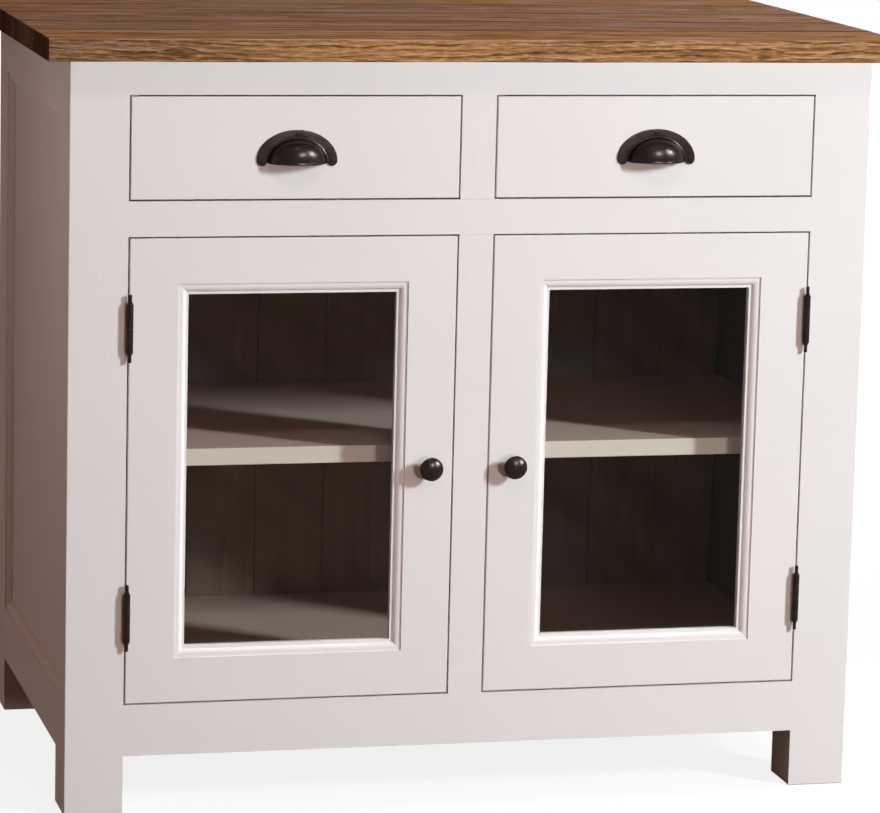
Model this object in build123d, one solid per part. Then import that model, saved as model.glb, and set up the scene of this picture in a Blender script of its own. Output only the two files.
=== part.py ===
from build123d import *
from collections import namedtuple
import math
import os

# Kitchen base cabinet: a painted frame with two drawers over two glazed doors, under a plank worktop.
# Millimetres. +X right, +Y to the back, +Z up. The origin is on the floor under the middle of the worktop.

# Worktop
worktop_width = 1000.0
worktop_depth = 600.0
worktop_thickness = 26.0
plank_count = 5
worktop_edge = 1.2
side_overhang = 29.0
front_overhang = 36.0

# Heights of the front, from the floor up
foot_height = 68.0
bottom_rail_height = 60.0
door_opening_height = 541.0
middle_rail_height = 40.0
drawer_opening_height = 120.0
top_rail_height = 40.0

# Carcass
carcass_depth = 560.0
leg_width = 68.0
leg_depth = 65.0
frame_thickness = 22.0
centre_stile_width = 40.0
side_rail_height = 63.0
side_panel_thickness = 9.0
panel_groove_depth = 8.0
gap = 2.0
corner_round = 1.5
edge_round = 0.8
cut_over = 1.0

# Joints in the wood
tenon_thickness = 10.0
tenon_length = 30.0
tenon_shoulder = 6.0
grooved_shoulder = 2.0
stub_tenon_length = 16.0
joint_clearance = 0.15
joint_end_clearance = 0.3

# Moulding round the glass and round the side panels
moulding_width = 12.5
moulding_quirk = 1.8
moulding_band = 3.4
moulding_lip = 3.2
lip_depth = 6.2
moulding_depth = 8.0
round_middle_s = 7.4
round_middle_d = 3.4

# Back boards, tongued and grooved
back_board_thickness = 15.0
back_board_cover = 88.0
first_board_cover = 28.2
back_board_foot = 20.0
board_tongue = 6.0
board_tongue_thickness = 5.0
board_bevel = 2.0
board_gap = 0.2

# Inside of the carcass
bottom_board_thickness = 18.0
bottom_board_rise = 15.0
cleat_width = 20.0
bottom_cleat_height = 30.0
post_width = 18.0
post_depth = 26.0
shelf_thickness = 20.0
shelf_height = 416.0
shelf_setback = 50.0
shelf_cleat_height = 20.0
shelf_cleat_setback = 15.0
fit_clearance = 0.3

# Drawers
drawer_front_thickness = 22.0
drawer_side_thickness = 12.0
drawer_side_height = 110.0
drawer_back_room = 30.0
drawer_lap = 10.0
drawer_back_thickness = 12.0
drawer_back_inset = 12.0
drawer_back_height = 82.0
drawer_bottom_thickness = 6.0
drawer_bottom_rise = 8.0
drawer_groove_depth = 6.0
drawer_housing_depth = 4.0
runner_width = 20.0
runner_height = 30.0
guide_height = 30.0
guide_clearance = 1.0
stop_height = 14.0

# Doors
door_thickness = 22.0
door_stile_flat = 56.0
door_rail_flat = 52.0
door_tenon_thickness = 8.0
door_tenon_length = 38.0
glass_thickness = 4.0
glass_cover = 8.0
glass_edge_gap = 1.0
bead_setback = 1.0
bead_bevel = 4.5

# Lift-off hinges
hinge_inset = 101.5
hinge_length = 56.0
barrel_radius = 3.8
barrel_stand_off = 5.0
barrel_gap = 0.3
leaf_thickness = 1.5
leaf_setback = 3.0
leaf_mortise_depth = 1.5
leaf_clearance = 0.15
leaf_relief = 0.5
pin_radius = 2.5
pin_fit = 0.02
pin_running_clearance = 0.05
pin_engagement = 22.0
pin_round = 0.8
finial_length = 11.0
finial_radius = 2.0
finial_round = 1.3
finial_collar_radius = 2.7
finial_collar_height = 2.2

# Knobs
knob_radius = 14.0
knob_length = 22.0
knob_base_radius = 8.0
knob_base_thickness = 2.5
knob_waist_radius = 5.6
knob_neck_radius = 5.0
knob_neck_end = 10.0
knob_neck_straight = 2.0
knob_swell_radius = 10.8
knob_swell_at = 12.0
knob_rim_at = 17.0
knob_rim_round = 1.8
knob_hole_end = 1.0

# Cup pulls
cup_width = 93.0
cup_height = 41.0
cup_ear_radius = 6.0
cup_flange_thickness = 2.0
cup_flange_band = 8.6
cup_dome_width = 67.0
cup_dome_rise = 3.0
cup_dome_projection = 24.0
cup_wall = 2.0
cup_ridge_width = 1.5
cup_ridge_thickness = 1.0

# Screws, with their length under the head, and their heads as shares of the head's height and radius
Screw = namedtuple("Screw", "head_radius head_height shank_radius length")
screw_fit = 0.02
slot_depth_share = 0.4
slot_width_share = 0.28
head_round_share = 0.45
hinge_screw_head_radius = 3.0
hinge_screw_head_height = 1.2
hinge_screw_radius = 1.5
hinge_screw_length = 16.0
pull_screw_head_radius = 2.2
pull_screw_head_height = 1.3
pull_screw_radius = 1.2
pull_screw_length = 12.0
plate_screw_head_radius = 1.9
plate_screw_head_height = 0.7
plate_screw_radius = 1.0
plate_screw_length = 9.0
worktop_screw_head_radius = 4.0
worktop_screw_head_height = 2.6
worktop_screw_radius = 2.0
worktop_screw_length = 34.0
bottom_screw_head_radius = 3.0
bottom_screw_head_height = 1.6
bottom_screw_radius = 1.4
bottom_screw_length = 18.0
knob_screw_engagement = 8.0
knob_screw_head_radius = 4.0
knob_screw_head_height = 2.4
knob_screw_radius = 2.0
knob_screw_length = door_thickness + knob_screw_engagement
hinge_screw = Screw(
    hinge_screw_head_radius, hinge_screw_head_height, hinge_screw_radius, hinge_screw_length
)
pull_screw = Screw(pull_screw_head_radius, pull_screw_head_height, pull_screw_radius, pull_screw_length)
plate_screw = Screw(
    plate_screw_head_radius, plate_screw_head_height, plate_screw_radius, plate_screw_length
)
worktop_screw = Screw(
    worktop_screw_head_radius, worktop_screw_head_height, worktop_screw_radius, worktop_screw_length
)
bottom_screw = Screw(
    bottom_screw_head_radius, bottom_screw_head_height, bottom_screw_radius, bottom_screw_length
)
knob_screw = Screw(knob_screw_head_radius, knob_screw_head_height, knob_screw_radius, knob_screw_length)
hinge_screw_spread = 17.0
hinge_screw_reach = 11.0
bottom_screw_spread = 90.0

# Magnet catches and their plates
catch_length = 42.0
catch_width = 22.0
catch_thickness = 13.0
catch_drop = 16.0
catch_ear_length = 9.0
catch_ear_thickness = 3.0
magnet_length = 18.0
magnet_width = 14.0
magnet_depth = 8.0
magnet_inset = 2.0
plate_length = 34.0
plate_width = 15.0
plate_thickness = 1.2
plate_inset = 2.0
plate_screw_inset = 6.0
catch_air = 0.3

# Wooden buttons that hold the worktop
button_length = 40.0
button_width = 30.0
button_thickness = 18.0
button_tongue = 8.0
button_tongue_height = 7.0
button_drop = 5.0
button_place = 110.0

# Places worked out from the sizes above
carcass_width = worktop_width - 2 * side_overhang
half_width = carcass_width / 2
leg_inner = half_width - leg_width
side_inner = half_width - frame_thickness
front = -worktop_depth / 2 + front_overhang
back = front + carcass_depth
frame_back = front + frame_thickness
leg_front_end = front + leg_depth
leg_back_start = back - leg_depth
boards_front = leg_back_start - back_board_thickness
back_rail_y = (leg_back_start, leg_back_start + frame_thickness)
z_door = foot_height + bottom_rail_height
z_middle = z_door + door_opening_height
z_drawer = z_middle + middle_rail_height
z_top_rail = z_drawer + drawer_opening_height
z_under = z_top_rail + top_rail_height
panel_outer = half_width - moulding_depth
panel_inner = panel_outer - side_panel_thickness
side_z0 = foot_height + side_rail_height
side_z1 = z_under - side_rail_height
floor_z = z_door + bottom_board_rise
floor_under = floor_z - bottom_board_thickness
runner_top = z_drawer + gap - fit_clearance
runner_under = runner_top - runner_height
door_x0 = centre_stile_width / 2 + gap
door_x1 = leg_inner - gap
door_z0 = z_door + gap
door_z1 = z_middle - gap
door_back = front + door_thickness
glass_front = front + moulding_depth
glass_back = glass_front + glass_thickness
drawer_end = boards_front - drawer_back_room
drawer_z0 = z_drawer + gap
drawer_z1 = z_top_rail - gap
hinge_x = door_x1
hinge_y = front - barrel_stand_off
hinge_heights = (door_z0 + hinge_inset, door_z1 - hinge_inset)
leaf_end = door_back - leaf_setback
frame_leaf_face = leg_inner - leaf_thickness
door_leaf_face = door_x1 - leaf_mortise_depth + leaf_thickness
knob_x = door_x0 + door_stile_flat / 2
knob_z = (door_z0 + door_z1) / 2
pull_x = (door_x0 + door_x1) / 2
pull_z0 = (drawer_z0 + drawer_z1 - cup_height) / 2

# Bottom and top of the rails
front_rails = {
    "top_rail": (z_top_rail, z_under),
    "middle_rail": (z_middle, z_drawer),
    "bottom_rail": (foot_height, z_door),
}
side_rails = {"side_top_rails": (side_z1, z_under), "side_bottom_rails": (foot_height, side_z0)}

# Directions
RIGHT, LEFT = (1, 0, 0), (-1, 0, 0)
BACKWARD, FORWARD = (0, 1, 0), (0, -1, 0)
UP, DOWN = (0, 0, 1), (0, 0, -1)


def block(x0, x1, y0, y1, z0, z1):
    """A box from its six faces."""
    return Pos((x0 + x1) / 2, (y0 + y1) / 2, (z0 + z1) / 2) * Box(x1 - x0, y1 - y0, z1 - z0)


def prism(points, direction, length):
    """A straight solid on a flat outline of points in space."""
    return extrude(make_face(Polyline(*points, close=True)), amount=length, dir=direction)


def edges_at(solid, **place):
    """The edges whose middle lies at the given X, Y or Z."""
    return [
        edge
        for edge in solid.edges()
        if all(abs(getattr(edge.center(), axis) - value) < 0.01 for axis, value in place.items())
    ]


def rounded(solid, radius, *places):
    """The solid with the edges at each place rounded."""
    edges = [edge for place in places for edge in edges_at(solid, **place)]
    return fillet(edges, radius) if edges else solid


def mirrored(solids):
    """The same pieces on the other side of the cabinet's middle."""
    return [mirror(solid, about=Plane.YZ) for solid in solids]


def save(name, solids):
    """Writes one piece, or one group of separate pieces, as a STEP file."""
    loose = [solid for shape in solids for solid in shape.solids()]
    export_step(loose[0] if len(loose) == 1 else Compound(children=loose), f"parts/{name}.step")


def save_pair(name, solids):
    """Writes the right-hand pieces and their mirrored left-hand ones as two nodes."""
    save(name.format("right"), solids)
    save(name.format("left"), mirrored(solids))


def grown(solid_box, ends, sides):
    """A mortise for a tenon given as its six faces: longer at the ends and wider at the sides."""
    x0, x1, y0, y1, z0, z1 = solid_box
    ex, ey, ez = (ends if axis == "end" else joint_clearance for axis in sides)
    return block(x0 - ex, x1 + ex, y0 - ey, y1 + ey, z0 - ez, z1 + ez)


def screw(size, head="countersunk"):
    """A slotted screw at the origin that goes in along -Z, its head's top at Z 0 or its seat there."""
    slot_depth = size.head_height * slot_depth_share
    if head == "countersunk":
        top = 0.0
        cap = Cone(size.shank_radius, size.head_radius, size.head_height)
    else:
        top = size.head_height
        cap = Cylinder(size.head_radius, size.head_height)
        cap = fillet(cap.edges().group_by(Axis.Z)[-1], size.head_height * head_round_share)
    under = top - size.head_height
    cap = Pos(0, 0, (top + under) / 2) * cap
    shank = Pos(0, 0, under - size.length / 2) * Cylinder(size.shank_radius, size.length)
    slot = Box(3 * size.head_radius, size.head_radius * slot_width_share, slot_depth)
    return cap + shank - Pos(0, 0, top - slot_depth / 2) * slot


def screw_hole(size, head="countersunk"):
    """The room for such a screw."""
    under = -size.head_height if head == "countersunk" else 0.0
    radius = size.shank_radius + screw_fit
    length = size.length + 2 * screw_fit
    shank = Pos(0, 0, under - size.length / 2) * Cylinder(radius, length)
    if head != "countersunk":
        return shank
    cap = Cone(radius, size.head_radius + screw_fit, size.head_height)
    return shank + Pos(0, 0, -size.head_height / 2) * cap


def placed(solid, point, out):
    """The solid moved from the origin to a point, with its +Z turned to the direction out."""
    return Plane(origin=point, z_dir=out).location * solid


# Moulding profile, in a section: s runs from the flat frame towards the panel, d from the face inwards
def moulding_curve(at):
    """The visible line of the moulding's section, from the quirk to the lip."""
    band_end = at(moulding_band, moulding_quirk)
    lip_start = at(moulding_width - moulding_lip, lip_depth)
    return [
        Line(at(0, moulding_quirk), band_end),
        ThreePointArc(band_end, at(round_middle_s, round_middle_d), lip_start),
        Line(lip_start, at(moulding_width, lip_depth)),
    ]


def section(at, corners):
    """A face bounded by the moulding's line and by straight lines through the corners."""
    chain = [(moulding_width, lip_depth), *corners, (0, moulding_quirk)]
    lines = [Line(at(*a), at(*b)) for a, b in zip(chain, chain[1:])]
    return make_face(Wire(moulding_curve(at) + lines))


def moulding_waste(at, direction, length):
    """What the moulding plane takes off a frame member."""
    beyond = moulding_width + cut_over
    corners = [(beyond, lip_depth), (beyond, -cut_over), (0, -cut_over)]
    return extrude(section(at, corners), amount=length, dir=direction)


def moulding_strip(at, direction, length):
    """A planted moulding, flat at its back and along the frame."""
    corners = [(moulding_width, moulding_depth), (0, moulding_depth)]
    return extrude(section(at, corners), amount=length, dir=direction)


# Tenons, given as their six faces
def cross_tenon(z0, z1, y0, y1, inner, length):
    """The right-hand tenon of a rail that runs along X."""
    middle = (y0 + y1) / 2
    low, high = z0 + tenon_shoulder, z1 - tenon_shoulder
    return (inner, inner + length, middle - tenon_thickness / 2, middle + tenon_thickness / 2, low, high)


def side_tenons(z0, z1):
    """The front and back tenons of a side rail on the right."""
    middle = half_width - frame_thickness / 2
    shoulder = panel_groove_depth + grooved_shoulder
    low, high = z0 + shoulder, z1 - shoulder
    x0, x1 = middle - tenon_thickness / 2, middle + tenon_thickness / 2
    return [
        (x0, x1, leg_front_end - tenon_length, leg_front_end, low, high),
        (x0, x1, leg_back_start, leg_back_start + tenon_length, low, high),
    ]


def panel_groove_box():
    """The groove round the right side panel, as the panel's own room with clearance."""
    return block(
        panel_inner - joint_clearance,
        panel_outer + joint_clearance,
        leg_front_end - panel_groove_depth,
        leg_back_start + panel_groove_depth,
        side_z0 - panel_groove_depth,
        side_z1 + panel_groove_depth,
    )


def make_worktop():
    plank = worktop_depth / plank_count
    half = worktop_width / 2
    top = z_under + worktop_thickness
    holes = [placed(screw_hole(worktop_screw, "pan"), point, DOWN) for point in button_points()]
    holes += mirrored(holes)
    planks = []
    for number in range(plank_count):
        y0 = -worktop_depth / 2 + number * plank
        wood = block(-half, half, y0, y0 + plank, z_under, top)
        edges = [{"X": x, "Z": z} for x in (-half, half) for z in (z_under, top)]
        if number == 0:
            edges += [{"Y": y0, "Z": z} for z in (z_under, top)]
        if number == plank_count - 1:
            edges += [{"Y": y0 + plank, "Z": z} for z in (z_under, top)]
        wood = rounded(wood, worktop_edge, *edges)
        for hole in holes:
            wood -= hole
        planks.append(wood)
    save("worktop", planks)


def button_points():
    """Where the screws of the right-hand buttons enter, at the buttons' undersides."""
    x = side_inner - button_width / 2
    z = z_under - button_drop - button_thickness
    return [(x, leg_front_end + button_place, z), (x, leg_back_start - button_place, z)]


def button_tongue_room(y, clearance):
    """The tongue of the button at y, grown by a clearance."""
    x1 = side_inner + button_tongue + 2 * clearance
    half = button_length / 2 + clearance
    z1 = z_under - button_drop
    return block(side_inner, x1, y - half, y + half, z1 - button_tongue_height - clearance, z1 + clearance)


def make_worktop_buttons():
    buttons = []
    for x, y, z in button_points():
        half = button_length / 2
        body = block(side_inner - button_width, side_inner, y - half, y + half, z, z_under)
        hole = placed(screw_hole(worktop_screw, "pan"), (x, y, z), DOWN)
        buttons.append(body + button_tongue_room(y, 0) - hole)
    save("worktop_buttons", buttons + mirrored(buttons))


def make_legs():
    inner, outer = leg_inner, half_width
    front_leg = block(inner, outer, front, leg_front_end, 0, z_under)
    front_leg = rounded(
        front_leg,
        corner_round,
        {"X": outer, "Y": front},
        {"X": outer, "Z": 0},
        {"Y": front, "Z": 0},
        {"X": inner, "Z": 0},
        {"Y": leg_front_end, "Z": 0},
    )
    for z0, z1 in front_rails.values():
        tenon = cross_tenon(z0, z1, front, frame_back, inner, tenon_length)
        front_leg -= grown(tenon, joint_end_clearance, ("end", "side", "side"))
    back_leg = block(inner, outer, leg_back_start, back, 0, z_under)
    back_leg = rounded(
        back_leg,
        corner_round,
        {"X": outer, "Y": back},
        {"X": outer, "Z": 0},
        {"Y": back, "Z": 0},
        {"X": inner, "Z": 0},
        {"Y": leg_back_start, "Z": 0},
    )
    for z0, z1 in side_rails.values():
        tenon = cross_tenon(z0, z1, *back_rail_y, inner, tenon_length)
        back_leg -= grown(tenon, joint_end_clearance, ("end", "side", "side"))
        ahead, behind = side_tenons(z0, z1)
        front_leg -= grown(ahead, joint_end_clearance, ("side", "end", "side"))
        back_leg -= grown(behind, joint_end_clearance, ("side", "end", "side"))
    front_leg -= panel_groove_box()
    back_leg -= panel_groove_box()
    for height in hinge_heights:
        for point in hinge_screw_points(height):
            at = (leg_inner - leaf_thickness, *point)
            front_leg -= placed(screw_hole(hinge_screw), at, LEFT)
    save_pair("front_leg_{}", [front_leg])
    save_pair("back_leg_{}", [back_leg])


def make_front_frame():
    low, high = z_door, z_top_rail
    half = centre_stile_width / 2
    lap_y = front + frame_thickness / 2
    tenon_y0 = front + (frame_thickness - tenon_thickness) / 2
    tenon_y1 = tenon_y0 + tenon_thickness
    tenon = (
        -half + tenon_shoulder,
        half - tenon_shoulder,
        tenon_y0,
        tenon_y1,
        low - stub_tenon_length,
        high + stub_tenon_length,
    )
    stile = block(-half, half, front, frame_back, low, high) + block(*tenon)
    stile -= block(-half, half, front, lap_y, z_middle - joint_clearance, z_drawer + joint_clearance)
    save("centre_stile", [stile])
    stile_mortise = grown(tenon, joint_end_clearance, ("side", "side", "end"))
    lap_room = block(
        -half - joint_clearance, half + joint_clearance, lap_y, frame_back, z_middle, z_drawer
    )
    for name, (z0, z1) in front_rails.items():
        right_tenon = cross_tenon(z0, z1, front, frame_back, leg_inner, tenon_length)
        tenons = block(-right_tenon[1], *right_tenon[1:])
        rail = block(-leg_inner, leg_inner, front, frame_back, z0, z1) + tenons
        rail -= lap_room if name == "middle_rail" else stile_mortise
        save(name, [rail])


def make_sides():
    for name, (z0, z1) in side_rails.items():
        rail = block(side_inner, half_width, leg_front_end, leg_back_start, z0, z1)
        for tenon in side_tenons(z0, z1):
            rail += block(*tenon)
        rail -= panel_groove_box()
        if name == "side_top_rails":
            for point in button_points():
                rail -= button_tongue_room(point[1], joint_clearance)
        save(name, [rail] + mirrored([rail]))
    reach = panel_groove_depth - joint_end_clearance
    panel = block(
        panel_inner,
        panel_outer,
        leg_front_end - reach,
        leg_back_start + reach,
        side_z0 - reach,
        side_z1 + reach,
    )
    save_pair("side_panel_{}", [panel])
    make_side_mouldings()


def make_side_mouldings():
    y0, y1, z0, z1, w = leg_front_end, leg_back_start, side_z0, side_z1, moulding_width
    height, length = z1 - z0, y1 - y0
    front_strip = moulding_strip(lambda s, d: (half_width - d, y0 + s, z0), UP, height)
    back_strip = moulding_strip(lambda s, d: (half_width - d, y1 - s, z0), UP, height)
    low_strip = moulding_strip(lambda s, d: (half_width - d, y0, z0 + s), BACKWARD, length)
    high_strip = moulding_strip(lambda s, d: (half_width - d, y0, z1 - s), BACKWARD, length)
    mitres = {
        "front": [(y0, z0), (y0 + w, z0 + w), (y0 + w, z1 - w), (y0, z1)],
        "back": [(y1, z0), (y1 - w, z0 + w), (y1 - w, z1 - w), (y1, z1)],
        "low": [(y0, z0), (y0 + w, z0 + w), (y1 - w, z0 + w), (y1, z0)],
        "high": [(y0, z1), (y0 + w, z1 - w), (y1 - w, z1 - w), (y1, z1)],
    }
    strips = []
    for strip, outline in zip((front_strip, back_strip, low_strip, high_strip), mitres.values()):
        keep = prism([(panel_outer, y, z) for y, z in outline], RIGHT, moulding_depth)
        strips.append(strip & keep)
    save("side_mouldings", strips + mirrored(strips))


def make_back():
    y0, y1 = back_rail_y
    rails = []
    for z0, z1 in side_rails.values():
        right_tenon = cross_tenon(z0, z1, y0, y1, leg_inner, tenon_length)
        tenons = block(-right_tenon[1], *right_tenon[1:])
        rails.append(block(-leg_inner, leg_inner, y0, y1, z0, z1) + tenons)
    save("back_rails", rails)
    left, right = -side_inner + fit_clearance, side_inner - fit_clearance
    count = 1 + math.ceil((right - left - first_board_cover) / back_board_cover)
    starts = [left] + [left + first_board_cover + n * back_board_cover for n in range(count - 1)]
    ends = [start - board_gap for start in starts[1:]] + [right]
    boards = []
    for number, (x0, x1) in enumerate(zip(starts, ends)):
        boards.append(back_board(x0, x1, number > 0, number < count - 1))
    save("back_boards", boards)


def back_board(x0, x1, grooved, tongued):
    """One upright board with its front edges bevelled, grooved on the left and tongued on the right."""
    y0, y1 = boards_front, boards_front + back_board_thickness
    tongue_y0 = (y0 + y1 - board_tongue_thickness) / 2
    tongue_y1 = tongue_y0 + board_tongue_thickness
    clear = joint_clearance / 2
    outline = [(x0 + board_bevel, y0), (x1 - board_bevel, y0), (x1, y0 + board_bevel)]
    if tongued:
        tip = x1 + board_tongue
        outline += [(x1, tongue_y0), (tip, tongue_y0), (tip, tongue_y1), (x1, tongue_y1)]
    outline += [(x1, y1), (x0, y1)]
    if grooved:
        tip = x0 + board_tongue + board_gap
        low, high = tongue_y0 - clear, tongue_y1 + clear
        outline += [(x0, high), (tip, high), (tip, low), (x0, low)]
    outline += [(x0, y0 + board_bevel)]
    z0 = foot_height + back_board_foot
    return prism([(x, y, z0) for x, y in outline], UP, z_under - z0)


def make_floor():
    door_stop = door_back + fit_clearance
    board = block(-side_inner, side_inner, door_stop, boards_front, floor_under, floor_z)
    notch_x, notch_y = leg_inner - fit_clearance, leg_front_end + fit_clearance
    notch = block(notch_x, side_inner, door_stop, notch_y, floor_under, floor_z)
    board -= notch
    board -= mirror(notch, about=Plane.YZ)
    save("bottom_board", [board])
    low = floor_under - bottom_cleat_height
    front_cleat = block(-leg_inner, leg_inner, frame_back, frame_back + cleat_width, low, floor_under)
    side_cleat = block(
        side_inner - cleat_width, side_inner, leg_front_end, boards_front - cleat_width, low, floor_under
    )
    back_cleat = block(-side_inner, side_inner, boards_front - cleat_width, boards_front, low, floor_under)
    save("bottom_cleats", [front_cleat, back_cleat, side_cleat, *mirrored([side_cleat])])


def make_centre_post():
    """A short post behind the centre stile, which carries the middle runner and the catches."""
    half = post_width / 2
    post = block(-half, half, frame_back, frame_back + post_depth, floor_z, runner_under)
    for x, y, z in catch_screw_points():
        for side in (1, -1):
            post -= placed(screw_hole(plate_screw), (side * x, y, z), (side, 0, 0))
    save("centre_post", [post])


def make_shelf():
    """One shelf across the whole inside, notched round the front legs, on cleats at the sides and back."""
    y0 = front + shelf_setback
    under = shelf_height - shelf_thickness
    board = block(-panel_inner, panel_inner, y0, boards_front, under, shelf_height)
    board = rounded(board, edge_round, {"Y": y0, "Z": shelf_height}, {"Y": y0, "Z": under})
    notch_x, notch_y = leg_inner - fit_clearance, leg_front_end + fit_clearance
    if y0 < notch_y:
        notch = block(notch_x, panel_inner, y0, notch_y, under, shelf_height)
        board -= notch
        board -= mirror(notch, about=Plane.YZ)
    save("shelf", [board])
    low = under - shelf_cleat_height
    back_y = boards_front - cleat_width
    back_cleat = block(-panel_inner, panel_inner, back_y, boards_front, low, under)
    side_cleat = block(
        panel_inner - cleat_width, panel_inner, y0 + shelf_cleat_setback, back_y, low, under
    )
    save("shelf_cleats", [back_cleat, side_cleat, *mirrored([side_cleat])])


def make_drawer_supports():
    """Runners, guides, kickers and stops: what the two drawers slide on and between."""
    outer_x1 = door_x1 + guide_clearance
    outer_x0 = outer_x1 - runner_width
    middle = door_x0 + runner_width - guide_clearance
    guide_half = door_x0 - guide_clearance
    outer = block(outer_x0, outer_x1, frame_back, boards_front, runner_under, runner_top)
    centre = block(-middle, middle, frame_back, boards_front, runner_under, runner_top)
    save("drawer_runners", [outer, *mirrored([outer]), centre])
    guide_top = runner_top + guide_height
    side_guide = block(
        outer_x1, outer_x1 + cleat_width, leg_front_end, boards_front, runner_under, guide_top
    )
    centre_guide = block(-guide_half, guide_half, frame_back, boards_front, runner_top, guide_top)
    save("drawer_guides", [side_guide, *mirrored([side_guide]), centre_guide])
    kicker = block(outer_x0, outer_x1, frame_back, boards_front, z_top_rail, z_under)
    centre_kicker = block(-middle, middle, frame_back, boards_front, z_top_rail, z_under)
    save("drawer_kickers", [kicker, *mirrored([kicker]), centre_kicker])
    stops = []
    for x0 in (guide_half, outer_x1 - drawer_side_thickness):
        x1 = x0 + drawer_side_thickness
        stop_y = drawer_end + fit_clearance
        stops.append(block(x0, x1, stop_y, boards_front, runner_top, runner_top + stop_height))
    save("drawer_stops", stops + mirrored(stops))


def make_drawers():
    x0, x1, z0, z1 = door_x0, door_x1, drawer_z0, drawer_z1
    lap_y = front + drawer_lap
    inner_face = front + drawer_front_thickness
    side_x0, side_x1 = x0 + drawer_side_thickness, x1 - drawer_side_thickness
    bottom_z = z0 + drawer_bottom_rise
    groove = block(
        side_x0 - drawer_groove_depth,
        side_x1 + drawer_groove_depth,
        inner_face - drawer_groove_depth,
        drawer_end,
        bottom_z - joint_clearance,
        bottom_z + drawer_bottom_thickness + joint_clearance,
    )
    face = block(x0, x1, front, inner_face, z0, z1)
    face = rounded(
        face,
        edge_round,
        {"X": x0, "Y": front},
        {"X": x1, "Y": front},
        {"Y": front, "Z": z0},
        {"Y": front, "Z": z1},
    )
    for lap in ((x0, side_x0 + joint_clearance), (side_x1 - joint_clearance, x1)):
        face -= block(*lap, lap_y, inner_face, z0, z1)
    face -= groove
    for point in pull_screw_points():
        face -= placed(screw_hole(pull_screw, "pan"), point, FORWARD)
    save_pair("drawer_{}_front", [face])
    side_top = z0 + drawer_side_height
    back_y1 = drawer_end - drawer_back_inset
    back_y0 = back_y1 - drawer_back_thickness
    back_z0 = bottom_z + drawer_bottom_thickness + joint_clearance
    housing = block(
        side_x0 - drawer_housing_depth,
        side_x1 + drawer_housing_depth,
        back_y0 - joint_clearance,
        back_y1 + joint_clearance,
        back_z0,
        back_z0 + drawer_back_height,
    )
    sides = []
    for a, b in ((x0, side_x0), (side_x1, x1)):
        side = block(a, b, lap_y, drawer_end, z0, side_top)
        side = rounded(side, edge_round, {"X": a, "Z": side_top}, {"X": b, "Z": side_top})
        sides.append(side - groove - housing)
    save_pair("drawer_{}_sides", sides)
    reach = drawer_housing_depth - joint_end_clearance
    rear = block(
        side_x0 - reach, side_x1 + reach, back_y0, back_y1, back_z0, back_z0 + drawer_back_height
    )
    reach = drawer_groove_depth - joint_end_clearance
    bottom = block(
        side_x0 - reach,
        side_x1 + reach,
        inner_face - reach,
        back_y1,
        bottom_z,
        bottom_z + drawer_bottom_thickness,
    )
    screws = [placed(screw(pull_screw, "pan"), point, FORWARD) for point in pull_screw_points()]
    for x in (pull_x - bottom_screw_spread, pull_x + bottom_screw_spread):
        at = (x, (back_y0 + back_y1) / 2, bottom_z)
        bottom -= placed(screw_hole(bottom_screw), at, DOWN)
        rear -= placed(screw_hole(bottom_screw), at, DOWN)
        screws.append(placed(screw(bottom_screw), at, DOWN))
    save_pair("drawer_{}_back", [rear])
    save_pair("drawer_{}_bottom", [bottom])
    save_pair("drawer_{}_cup_pull", [cup_pull()])
    save_pair("drawer_{}_screws", screws)


def pull_screw_points():
    """The seats of the cup pull's three screws: one in each ear and one at the top of the flange."""
    y = front - cup_flange_thickness
    ear_z = pull_z0 + cup_ear_radius
    top_z = pull_z0 + cup_height - cup_flange_band / 2
    ear_x = cup_width / 2 - cup_ear_radius
    return [(pull_x - ear_x, y, ear_z), (pull_x + ear_x, y, ear_z), (pull_x, y, top_z)]


def half_ellipse_plate(half, rise, thickness):
    """The upper half of an ellipse, as a plate in front of the XZ plane."""
    plate = extrude(Plane.XZ * Ellipse(half, rise), amount=thickness)
    return plate & block(-half, half, -thickness, 0, 0, rise)


def cup_dome(half, rise, inset):
    """A body that is round about X and elliptical along it, drawn in by the wall for its inside."""
    reach = rise**2 / cup_dome_projection
    radius = (reach + cup_dome_projection) / 2
    axis_depth = radius - cup_dome_projection
    length = half / math.sqrt(1 - (axis_depth / radius) ** 2)
    a, b = length - inset, radius - inset
    arc = EllipticalCenterArc((0, 0), a, b, start_angle=0, arc_size=180)
    profile = make_face(Wire([arc, Line((-a, 0), (a, 0))]))
    return Pos(0, axis_depth, 0) * revolve(profile, Axis.X)


def cup_pull():
    """An arched flange with an ear at each foot, a ridge, and a dome that is open below."""
    ear_x = cup_width / 2 - cup_ear_radius
    ridge_rise = cup_height - cup_flange_band - cup_dome_rise
    dome_half, dome_rise = cup_dome_width / 2, ridge_rise - cup_ridge_width
    flange = half_ellipse_plate(cup_width / 2, cup_height - cup_ear_radius, cup_flange_thickness)
    for x in (-ear_x, ear_x):
        ear = Rot(90, 0, 0) * Cylinder(cup_ear_radius, cup_flange_thickness)
        flange += Pos(x, -cup_flange_thickness / 2, 0) * ear
    ridge_thickness = cup_flange_thickness + cup_ridge_thickness
    ridge = half_ellipse_plate(dome_half + cup_ridge_width, ridge_rise, ridge_thickness)
    size = 2 * cup_width
    dome = cup_dome(dome_half, dome_rise, 0) & block(-size, size, -size, 0, 0, size)
    pull = Pos(0, 0, cup_ear_radius) * flange + Pos(0, 0, cup_dome_rise) * (ridge + dome)
    pull -= Pos(0, 0, cup_dome_rise) * cup_dome(dome_half, dome_rise, cup_wall)
    pull = Pos(pull_x, front, pull_z0) * pull
    for point in pull_screw_points():
        pull -= placed(screw_hole(pull_screw, "pan"), point, FORWARD)
    return pull


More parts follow.
